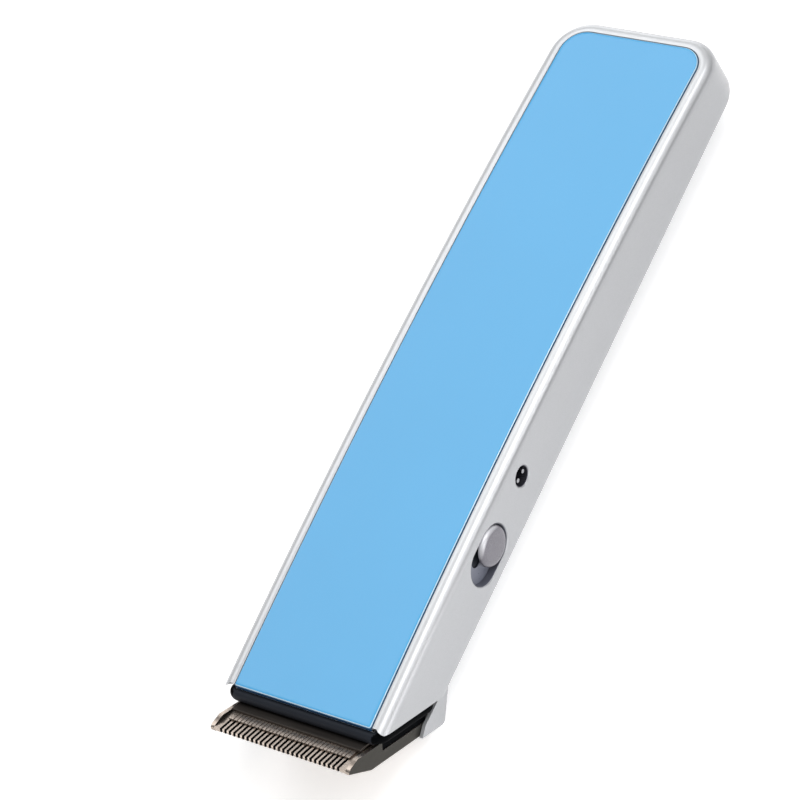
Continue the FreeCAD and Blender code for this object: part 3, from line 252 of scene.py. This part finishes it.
def make_materials():
    """One material for each of the record's slots, and the looks of single faces within them; most of these
    looks are painted highlights and painted shade.
    """
    return {
        # Case: painted highlight, the rim and other upward faces paler than the upright sides.
        "case_silver": lacquer_and_painted_highlight("case_silver", srgb(165, 166, 169), srgb(228, 230, 233)),
        # Heel's thin edge: painted highlight, a paler colour.
        "heel_edge_painted_highlight": lacquer_and_painted_highlight("heel_edge_painted_highlight", srgb(206, 207, 210), srgb(228, 230, 233)),
        # Panel chamfer near the face: painted highlight.
        "panel_edge_painted_highlight": gloss_plastic("panel_edge_painted_highlight", srgb(196, 228, 246)),
        # Panel chamfer down in the gap: painted shade.
        "panel_gap": moulded("panel_gap", srgb(40, 80, 118), shine=0.2),
        "panel_blue": gloss_plastic("panel_blue", srgb(92, 184, 239)),
        "holder_black": moulded("holder_black", srgb(34, 38, 46), rough=(0.5, 0.62), shine=0.22),
        "blade_steel": brushed("blade_steel", srgb(196, 183, 172), "y"),
        # Comb faces looking sideways: painted shade, darker than the top.
        "blade_side": brushed("blade_side", srgb(64, 62, 58), "y", rough=(0.3, 0.45)),
        # Cutter faces looking sideways: painted shade, a little darker than the top.
        "cutter_side": brushed("cutter_side", srgb(168, 155, 146), "y", rough=(0.3, 0.45)),
        # Comb slot walls: painted shadow, near black.
        "blade_slot": moulded("blade_slot", srgb(14, 12, 11), rough=(0.6, 0.7), shine=0.1),
        "spring_steel": brushed("spring_steel", srgb(86, 81, 77), "x", rough=(0.4, 0.55)),
        "screw_steel": brushed("screw_steel", srgb(200, 200, 202), "", rough=(0.18, 0.3)),
        "follower_white": moulded("follower_white", srgb(225, 222, 212)),
        "can_steel": brushed("can_steel", srgb(190, 190, 190), "y", rough=(0.25, 0.4)),
        "bell_black": moulded("bell_black", srgb(70, 70, 76)),
        "recess_grey": moulded("recess_grey", srgb(112, 115, 128), rough=(0.25, 0.4), change=0.15),
        "inlet_wall": brushed("inlet_wall", srgb(104, 104, 114), "x", rough=(0.25, 0.4), metallic=0.8),
        # Switch slot's lining: painted shade on the slot's wall.
        "recess_wall_painted_shade": moulded("recess_wall_painted_shade", srgb(94, 96, 107), change=0.1),
        # Holder faces looking sideways: painted shade, near black.
        "holder_shade": moulded("holder_shade", srgb(6, 7, 9), rough=(0.6, 0.7), shine=0.02),
        "bush_bronze": cast("bush_bronze", srgb(176, 126, 70), rough=(0.35, 0.5), metallic=1.0, grain=4e-6),
        "magnet_ferrite": cast("magnet_ferrite", srgb(70, 70, 74)),
        "armature_steel": brushed("armature_steel", srgb(140, 120, 105), "xz", rough=(0.35, 0.5)),
        "contact_brass": brushed("contact_brass", srgb(214, 180, 104), "x"),
        "contact_steel": brushed("contact_steel", srgb(160, 160, 164), "x", rough=(0.25, 0.35)),
        "board_green": board("board_green", srgb(34, 104, 58)),
        "socket_black": moulded("socket_black", srgb(44, 44, 50), rough=(0.35, 0.5)),
        # Knob: dark grey sideways and near white where its round edge turns up, a painted highlight.
        "knob_grey": lacquer_and_painted_highlight("knob_grey", srgb(92, 89, 98), srgb(246, 246, 250), turn=(0.3, 0.8)),
        "component_black": gloss_plastic("component_black", srgb(38, 38, 44), rough=(0.25, 0.35), change=0.1),
        "cell_sleeve": gloss_plastic("cell_sleeve", srgb(60, 150, 84), rough=(0.2, 0.3), change=0.05),
        "tab_nickel": brushed("tab_nickel", srgb(204, 202, 196), "x"),
        "pad_foam": foam("pad_foam", srgb(74, 74, 76)),
        "lead_red": gloss_plastic("lead_red", srgb(188, 32, 28), rough=(0.3, 0.42), change=0.08),
        "lead_black": gloss_plastic("lead_black", srgb(34, 34, 36), rough=(0.3, 0.42), change=0.08),
    }


def dress(materials):
    """Gives every CAD node the material of its slot."""
    for subpart in frame["record"]["subparts"]:
        node = frame["nodes"][subpart["node"]]
        node.data.materials.clear()
        node.data.materials.append(materials[subpart["material_slot"]])


# ---------------------------------------------------------------- case shapes

# Millimetres and degrees of the case's own frame: y runs from the head end, z from the bow's chord.
CASE_LENGTH, CASE_HALF, CASE_CORNER, PANEL_CORNER = 147.4, 18.0, 7.58, 4.8
BOW_HEIGHT, BOW_SPAN = 2.28, 144.64
BOW_RADIUS = BOW_SPAN ** 2 / (8 * BOW_HEIGHT) + BOW_HEIGHT / 2
REAR_DEPTH, REAR_SLOPE = 13.36, 1.94 / 144.64
RIM_DEPTH, FRONT_ROUND, REAR_ROUND = 0.2, 2.0, 1.8
RECESS_INSET, RECESS_DEPTH, WALL, CEILING_DEPTH = 2.68, 1.2, 1.6, 2.2
HEAD_Y, HEAD_Z, HEAD_TILT = -0.413, -0.872, math.radians(39.5)
LIP_ROUND, LIP_Y = 0.57, 0.359
PANEL_THICK, PANEL_FRONT_CORNER, PAINTED_HIGHLIGHT_DEPTH, PAINTED_SHADE_DEPTH = 1.16, 0.5, 0.004, 0.1
SWITCH_Y, SWITCH_Z, SWITCH_TRAVEL, SLOT_RADIUS, KNOB_RADIUS = 40.24, -5.3, 3.6, 4.25, 3.9
DISH_DEPTH, STEM_SLOT_RADIUS = 0.5, 1.25
INLET_Y, INLET_Z, INLET_RADIUS = 53.87, -3.54, 2.02
LINER_INNER_X, LINER_SINK, LINER_THICK = 16.42, 0.16, 0.09
SHIELD_BACK_X, SHIELD_THICK, SHIELD_REACH, SHIELD_HALF = 15.45, 0.2, 3.2, 2.0
SHARP_ANGLE, SOFT_ANGLE, TURNED_SIDES = 32, 50, 96

SHIFT_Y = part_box("main_housing")[1].y / MM - CASE_LENGTH
SHIFT_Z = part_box("front_panel")[1].z / MM - BOW_HEIGHT


def in_row(x, y, z):
    """A point of the case's frame, in millimetres, as a point of the row's frame, in metres."""
    return Vector((x, y + SHIFT_Y, z + SHIFT_Z)) * MM


def front(y, depth):
    """Height of the bowed front at y, some depth below the panel's face."""
    return BOW_HEIGHT - BOW_RADIUS + math.sqrt((BOW_RADIUS - depth) ** 2 - (y - BOW_SPAN / 2) ** 2)


def depth_below(point):
    """How far a point of the row's frame lies below the panel's face, in millimetres."""
    return front(point.y / MM - SHIFT_Y, 0) - (point.z / MM - SHIFT_Z)


def rear(y, above):
    """Height at y, some way above the sloping rear."""
    return above - REAR_DEPTH + REAR_SLOPE * y


def head_end(height):
    """Where the slanted end of the case, with its rounded lip, meets a surface z = height(y)."""
    y = 0.0
    for _ in range(12):
        z = height(y)
        centre = -RIM_DEPTH - LIP_ROUND
        if z < centre - LIP_ROUND * math.cos(HEAD_TILT):
            y = HEAD_Y + (HEAD_Z - z) / math.tan(HEAD_TILT)
        elif z < centre + LIP_ROUND:
            y = LIP_Y - math.sqrt(LIP_ROUND ** 2 - (z - centre) ** 2)
        else:
            y = LIP_Y
    return y


def arc(centre, radius, start, end, count):
    """Points of a plane arc, by angle in degrees."""
    return [(centre[0] + radius * math.cos(math.radians(start + (end - start) * i / count)),
             centre[1] + radius * math.sin(math.radians(start + (end - start) * i / count)))
            for i in range(count + 1)]


def run(start, end, count):
    """Points of a straight run, without the last."""
    return [tuple(a + (b - a) * i / count for a, b in zip(start, end)) for i in range(count)]


def tail_path(half, back, corner, start):
    """Plan path from the head end round the tail to the head end again."""
    corner = max(min(corner, half), 0.0)
    path = run((-half, start), (-half, back - corner), 90)
    path += arc((-half + corner, back - corner), corner, 180, 90, 16)[:-1]
    path += run((-half + corner, back), (half - corner, back), 16)
    path += arc((half - corner, back - corner), corner, 90, 0, 16)[:-1]
    path += run((half, back - corner), (half, start), 90) + [(half, start)]
    return path


def closed_path(half, start, back, corner, front_corner):
    """Plan path right round a panel, with its own radius at the head end."""
    corner, front_corner = (max(min(c, half), 0.0) for c in (corner, front_corner))
    path = run((-half + front_corner, start), (half - front_corner, start), 24)
    path += arc((half - front_corner, start + front_corner), front_corner, -90, 0, 4)[:-1]
    path += run((half, start + front_corner), (half, back - corner), 90)
    path += arc((half - corner, back - corner), corner, 0, 90, 16)[:-1]
    path += run((half - corner, back), (-half + corner, back), 24)
    path += arc((-half + corner, back - corner), corner, 90, 180, 16)[:-1]
    path += run((-half, back - corner), (-half, start + front_corner), 90)
    path += arc((-half + front_corner, start + front_corner), front_corner, 180, 270, 4)[:-1]
    return path


def strips(rows, cyclic=False):
    """Faces, as row and column pairs, between neighbouring rows of equal length."""
    faces = []
    width = len(rows[0])
    for i in range(len(rows) - 1):
        for j in range(width if cyclic else width - 1):
            k = (j + 1) % width
            faces.append(((i, j), (i, k), (i + 1, k), (i + 1, j)))
    return faces


def smooth(mesh, sharp):
    """Smooths a mesh's shading over all edges less sharp than an angle, in degrees."""
    mesh.shade_smooth()
    mesh.set_sharp_from_angle(angle=math.radians(sharp))


def as_object(name, mesh):
    """Welds a mesh, turns its faces outward and smooths all but its real edges."""
    work = bmesh.new()
    work.from_mesh(mesh)
    bmesh.ops.remove_doubles(work, verts=work.verts, dist=2e-6)
    bmesh.ops.dissolve_degenerate(work, edges=work.edges, dist=1e-6)
    bmesh.ops.recalc_face_normals(work, faces=work.faces)
    work.to_mesh(mesh)
    work.free()
    smooth(mesh, SHARP_ANGLE)
    piece = bpy.data.objects.new(name, mesh)
    bpy.context.scene.collection.objects.link(piece)
    return piece


def from_rows(name, rows, faces):
    """A piece from rows of points in the case's frame and faces of (row, column) corners."""
    width = len(rows[0])
    points = [in_row(*point) for row in rows for point in row]
    mesh = bpy.data.meshes.new(name)
    mesh.from_pydata(points, [], [[i * width + j for i, j in face] for face in faces])
    return as_object(name, mesh)


def apply_modifiers(piece):
    """Replaces a piece's mesh by what its modifiers make of it."""
    made = bpy.data.meshes.new_from_object(piece.evaluated_get(bpy.context.evaluated_depsgraph_get()))
    piece.modifiers.clear()
    piece.data = made


def cut_away(piece, *cutters):
    """Cuts closed pieces out of another and removes them."""
    for cutter in cutters:
        modifier = piece.modifiers.new("cut", "BOOLEAN")
        modifier.operation = "DIFFERENCE"
        modifier.solver = "EXACT"
        modifier.object = cutter
    apply_modifiers(piece)
    for cutter in cutters:
        bpy.data.objects.remove(cutter)
    smooth(piece.data, SHARP_ANGLE)


def long_outline(x, radius, y, z, travel):
    """A round outline across X, drawn out by the travel towards the head end."""
    points = arc((y - travel, z), radius, 90, 270, 24) + arc((y, z), radius, -90, 90, 24)
    return [(x, *point) for point in points]


def capped(name, rows):
    """A closed piece from rows that go round it, with its first and last row filled."""
    width = len(rows[0])
    faces = strips(rows, cyclic=True)
    faces += [[(0, j) for j in range(width)], [(len(rows) - 1, j) for j in range(width)]]
    return from_rows(name, rows, faces)


def side_hole(name, radius, y, z, travel, depths):
    """A round or long plug along X: (x, extra radius) steps from the inside outward."""
    return capped(name, [long_outline(x, radius + extra, y, z, travel) for x, extra in depths])


def case_rows():
    """Outer and inner rows of the case, from its rear edge round to the middle of the recess."""
    outer, inner = [], []
    first = math.degrees(math.asin(1 - WALL / REAR_ROUND))

    def add(out, inside):
        for rows, (inset, height) in ((outer, out), (inner, inside)):
            path = tail_path(CASE_HALF - inset, CASE_LENGTH - inset, CASE_CORNER - inset, head_end(height))
            rows.append([(x, y, height(y)) for x, y in path])

    for inset, above in arc((REAR_ROUND, REAR_ROUND), REAR_ROUND, 270 - first, 180, 9):
        add((inset, lambda y, a=above: rear(y, a)), (WALL, lambda y, a=above: rear(y, a)))
    side_depth = RIM_DEPTH + FRONT_ROUND
    for share in (0.25, 0.5, 0.75):
        def between(y, t=share):
            return (1 - t) * rear(y, REAR_ROUND) + t * front(y, side_depth)
        add((0, between), (WALL, between))
    for inset, depth in arc((FRONT_ROUND, side_depth), FRONT_ROUND, 180, 270, 12):
        share = inset / FRONT_ROUND
        under = side_depth + share * (CEILING_DEPTH - side_depth)
        add((inset, lambda y, d=depth: front(y, d)), (WALL, lambda y, d=under: front(y, d)))
    for inset, depth in ((RECESS_INSET - 0.06, RIM_DEPTH), (RECESS_INSET - 0.01, RIM_DEPTH + 0.03),
                         (RECESS_INSET, RIM_DEPTH + 0.1), (RECESS_INSET, RECESS_DEPTH)):
        add((inset, lambda y, d=depth: front(y, d)), (inset, lambda y: front(y, CEILING_DEPTH)))
    for inset in (6, 10, 14, CASE_HALF):
        add((inset, lambda y: front(y, RECESS_DEPTH)), (inset, lambda y: front(y, CEILING_DEPTH)))
    return outer, inner


def add_case(materials):
    """The case as one closed shell, with its switch slot and charging inlet."""
    outer, inner = case_rows()
    rows = outer + inner
    count, last = len(outer), len(outer[0]) - 1
    faces = strips(outer)
    faces += [[(i + count, j) for i, j in face] for face in strips(inner)]
    for end in (0, last):
        faces += [((i, end), (i + 1, end), (i + 1 + count, end), (i + count, end)) for i in range(count - 1)]
    case = from_rows("case_shell", rows, faces)
    steps = [(15.0, 0), (CASE_HALF - 0.3, 0), (CASE_HALF - 0.12, 0.05), (CASE_HALF + 0.01, 0.2),
             (CASE_HALF + 1, 0.2)]
    slot = side_hole("slot_cutter", SLOT_RADIUS, SWITCH_Y, SWITCH_Z, SWITCH_TRAVEL, steps)
    inlet = side_hole("inlet_cutter", INLET_RADIUS, INLET_Y, INLET_Z, 0.0, steps)
    cut_away(case, slot, inlet)
    case.data.materials.append(materials["case_silver"])
    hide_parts("main_housing")
    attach(case, "housing")


def add_panel(materials):
    """The glossy front panel: its chamfer has a painted highlight near the face and painted shade down in the
    gap.
    """
    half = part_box("front_panel")[1].x / MM
    steps = [(inset, PANEL_THICK) for inset in (half, 9, 3, 0)]
    steps += [(0, 0.6), (0, 0.28), (0.01, 0.25), (0.03, 0.23), (0.13, 0.13), (0.23, 0.03), (0.25, 0.01)]
    steps += [(inset, 0) for inset in (0.28, 0.8, 2, 5, 9, half)]
    rows = []
    for inset, depth in steps:
        path = closed_path(half - inset, inset, BOW_SPAN - inset, PANEL_CORNER - inset,
                           PANEL_FRONT_CORNER - inset)
        rows.append([(x, y, front(y, depth)) for x, y in path])
    panel = from_rows("panel_shell", rows, strips(rows, cyclic=True))
    for name in ("panel_blue", "panel_edge_painted_highlight", "panel_gap"):
        panel.data.materials.append(materials[name])
    # Painted highlight on the chamfer near the face, painted shade on the faces down in the gap.
    for face in panel.data.polygons:
        depth = sum(depth_below(panel.data.vertices[i].co) for i in face.vertices) / len(face.vertices)
        face.material_index = 2 if depth > PAINTED_SHADE_DEPTH else 1 if depth > PAINTED_HIGHLIGHT_DEPTH else 0
    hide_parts("front_panel")
    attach(panel, "housing")


def turned(name, profile, y, z):
    """A piece turned about an axis along X, from (radius, x) steps."""
    angles = [2 * math.pi * i / TURNED_SIDES for i in range(TURNED_SIDES)]
    rows = [[(x, y + radius * math.cos(a), z + radius * math.sin(a)) for a in angles]
            for radius, x in profile]
    return from_rows(name, rows, strips(rows, cyclic=True))


def add_knob(materials):
    """Switch knob: a nearly flat disc with a broad round edge, on a short stem."""
    low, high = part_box("switch_knob")
    face, stem_end = high.x / MM, low.x / MM
    round_width, round_height, crown = 1.3, 1.05, 0.06
    shoulder = face - crown - round_height
    profile = [(0, stem_end), (0.9, stem_end), (1.0, stem_end + 0.1), (1.0, face - 1.25),
               (KNOB_RADIUS - 0.1, face - 1.25), (KNOB_RADIUS, face - 1.15)]
    profile += [(KNOB_RADIUS - round_width * (1 - math.cos(a)), shoulder + round_height * math.sin(a))
                for a in (math.radians(9 * i) for i in range(11))]
    profile += [(1.8, face - 0.035), (0.9, face - 0.01), (0, face)]
    knob = turned("knob_shell", profile, SWITCH_Y, SWITCH_Z)
    knob.data.materials.append(materials["knob_grey"])
    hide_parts("switch_knob")
    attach(knob, "switch")


def add_liner(name, look, radius, y, z, travel, materials):
    """A thin lining of a hole through the side wall."""
    outer_x, outer, inner = CASE_HALF - LINER_SINK, radius - 0.01, radius - LINER_THICK
    steps = [(LINER_INNER_X, inner), (outer_x - 0.04, inner), (outer_x, outer),
             (LINER_INNER_X, outer), (LINER_INNER_X, inner)]
    rows = [long_outline(x, size, y, z, travel) for x, size in steps]
    liner = from_rows(name, rows, strips(rows, cyclic=True))
    liner.data.materials.append(materials[look])
    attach(liner, "housing")


def add_recess(materials):
    """The plate behind the switch slot, dished along the slot, with the stem's slot through it."""
    low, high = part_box("switch_recess")
    back, face = low.x / MM, high.x / MM
    y_low, y_high = low.y / MM - SHIFT_Y, high.y / MM - SHIFT_Y
    z_low, z_high = low.z / MM - SHIFT_Z, high.z / MM - SHIFT_Z
    across = [y_low + (y_high - y_low) * i / 60 for i in range(61)]

    def dished(y, z):
        along = min(max(y, SWITCH_Y - SWITCH_TRAVEL), SWITCH_Y)
        away = math.hypot(y - along, z - SWITCH_Z) / SLOT_RADIUS
        return face - DISH_DEPTH * max(1 - away ** 2, 0) ** 0.7

    rows = []
    for i in range(41):
        z = z_low + (z_high - z_low) * i / 40
        rows.append([(dished(y, z), y, z) for y in across] + [(back, y, z) for y in reversed(across)])
    plate = capped("recess_dish", rows)
    cut_away(plate, side_hole("stem_cutter", STEM_SLOT_RADIUS, SWITCH_Y, SWITCH_Z, SWITCH_TRAVEL,
                              [(15.0, 0), (17.0, 0)]))
    plate.data.materials.append(materials["recess_grey"])
    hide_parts("switch_recess")
    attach(plate, "housing")


def add_shield(materials):
    """A thin dark dust shield on the knob's stem, which closes the stem's slot at every place of the knob; it
    is partly a dust shield and partly painted shade, keeping the stem's slot dark.
    """
    low, high, ease = SHIELD_BACK_X, SHIELD_BACK_X + SHIELD_THICK, 0.05
    shield = side_hole("dust_shield_and_painted_shade", SHIELD_HALF, SWITCH_Y + SHIELD_REACH, SWITCH_Z, 2 * SHIELD_REACH,
                       [(low, -ease), (low + ease, 0), (high - ease, 0), (high, -ease)])
    shield.data.materials.append(materials["holder_black"])
    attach(shield, "switch")


# ---------------------------------------------------------------- softened CAD pieces

# The bevel's width on each piece, in millimetres.
SOFTENED = {
    "rear_cover": 0.18, "blade_holder": 0.15, "fixed_blade": 0.05, "cutter_blade": 0.03,
    "pressure_plate": 0.06, "housing_screws": 0.08, "blade_screws": 0.08, "charge_socket": 0.1,
    "cutter_follower": 0.1,
}

# Faces that look sideways, with painted shade: the darker look outside, the look inside slots (painted shadow
# in the comb's slots), and how far they face along X.
SIDE_PAINTED_SHADES = {
    "fixed_blade": ("blade_side", "blade_slot", 0.7),
    "cutter_blade": ("cutter_side", "cutter_side", 0.7),
    "blade_holder": ("holder_shade", "holder_shade", 0.3),
}
OUTER_X = 13.35
HEEL_EDGE_FACING = -0.4


def soften(node, width, body, materials):
    """A copy of a CAD piece with flat faces merged and every real edge eased by a fine bevel."""
    source = frame["nodes"][node]
    piece = bpy.data.objects.new(node + "_eased", source.data.copy())
    bpy.context.scene.collection.objects.link(piece)
    work = bmesh.new()
    work.from_mesh(piece.data)
    bmesh.ops.remove_doubles(work, verts=work.verts, dist=2e-6)
    bmesh.ops.dissolve_limit(work, angle_limit=math.radians(1.0), verts=work.verts, edges=work.edges)
    work.to_mesh(piece.data)
    work.free()
    bevel = piece.modifiers.new("ease", "BEVEL")
    bevel.width = width * MM
    bevel.segments = 2
    bevel.limit_method = "ANGLE"
    bevel.angle_limit = math.radians(35)
    bevel.use_clamp_overlap = True
    apply_modifiers(piece)
    smooth(piece.data, SOFT_ANGLE)
    level = piece.modifiers.new("level", "WEIGHTED_NORMAL")
    level.weight = 100
    level.keep_sharp = True
    apply_modifiers(piece)
    slot_name = next(s["material_slot"] for s in frame["record"]["subparts"] if s["node"] == node)
    piece.data.materials.clear()
    piece.data.materials.append(materials[slot_name])
    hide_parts(node)
    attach(piece, body)
    return piece


def soften_all(materials):
    for body, nodes in frame["record"]["behaviour"]["bodies"].items():
        for node in nodes:
            if node in SOFTENED:
                piece = soften(node, SOFTENED[node], body, materials)
                if node in SIDE_PAINTED_SHADES:
                    shade_sides(piece, *SIDE_PAINTED_SHADES[node], materials)
                if node == "rear_cover":
                    paint_heel_edge_highlight(piece, materials)


def shade_sides(piece, outer, inner, facing, materials):
    """Paints shade on the faces that look along X with their own darker looks: one outside, one inside slots
    and pockets.
    """
    piece.data.materials.append(materials[outer])
    piece.data.materials.append(materials[inner])
    for face in piece.data.polygons:
        if abs(face.normal.x) > facing:
            face.material_index = 1 if abs(face.center.x) > OUTER_X * MM else 2


def paint_heel_edge_highlight(piece, materials):
    """Paints a highlight on the heel's thin edge beside the blade, which faces the head end: a paler colour
    there stands for light catching the edge.
    """
    piece.data.materials.append(materials["heel_edge_painted_highlight"])
    for face in piece.data.polygons:
        if face.normal.y < HEEL_EDGE_FACING:
            face.material_index = 1


# ---------------------------------------------------------------- studio

def add_floor():
    """A pale floor, six metres each way, at the height of the heel's foot."""
    mesh = bpy.data.meshes.new("floor")
    mesh.from_pydata([(-6, -6, 0), (6, -6, 0), (6, 6, 0), (-6, 6, 0)], [], [(0, 1, 2, 3)])
    floor = bpy.data.objects.new("floor", mesh)
    floor.location = (0, 0, cad_box[0][2])
    bpy.context.scene.collection.objects.link(floor)
    surface = Surface("floor_white", Roughness=0.9, Specular_IOR_Level=0.1, Emission_Strength=0.42,
                      Emission_Color=(1, 1, 1, 1))
    surface.tint(surface.noise(3), srgb(250, 250, 250), srgb(252, 252, 252))
    mesh.materials.append(surface.material)


def add_area(name, place, target, size, power):
    """A soft white light, as wide and as high as size says, in metres, and of a power in watts."""
    data = bpy.data.lights.new(name, "AREA")
    data.shape = "RECTANGLE"
    data.size, data.size_y = size
    data.energy = power
    light = bpy.data.objects.new(name, data)
    light.location = place
    light.visible_camera = False
    light.rotation_euler = (Vector(target) - Vector(place)).to_track_quat("-Z", "Y").to_euler()
    bpy.context.scene.collection.objects.link(light)


def add_studio():
    world = bpy.data.worlds.new("studio")
    world.use_nodes = True
    background = world.node_tree.nodes["Background"]
    background.inputs["Color"].default_value = (1.0, 1.0, 1.0, 1.0)
    background.inputs["Strength"].default_value = 0.25
    bpy.context.scene.world = world
    add_floor()
    add_area("main", (0.42, -0.06, 0.90), (0, 0, 0), (0.6, 0.6), 1.9)
    add_area("overhead", (-0.51, 0.33, 0.75), (0, 0, 0), (0.75, 0.5), 2.0)
    add_area("rim", (0.25, 0.36, 0.83), (0, 0, 0), (0.6, 0.5), 2.6)
    add_area("edge", (0.78, 0.33, 0.53), (0, 0, 0), (0.2, 0.3), 1.0)
    add_area("head", (-0.53, -0.85, 0.33), (0, 0, 0), (0.5, 0.4), 1.3)
    add_area("tail", (-0.48, 0.86, 0.14), (0, 0.07, 0.02), (0.5, 0.25), 0.6)
    add_area("side", (0.13, -0.06, 0.03), (0.018, -0.05, 0.012), (0.08, 0.05), 0.045)
    bpy.context.scene.view_settings.view_transform = "Standard"


finishes = make_materials()
add_camera()
dress(finishes)
add_case(finishes)
add_panel(finishes)
add_knob(finishes)
add_recess(finishes)
add_shield(finishes)
# Lining of the switch slot: painted shade on the slot's wall.
add_liner("slot_painted_shade_liner", "recess_wall_painted_shade",
          SLOT_RADIUS, SWITCH_Y, SWITCH_Z, SWITCH_TRAVEL, finishes)
add_liner("inlet_liner", "inlet_wall",
          INLET_RADIUS, INLET_Y, INLET_Z, 0.0, finishes)
soften_all(finishes)
add_studio()
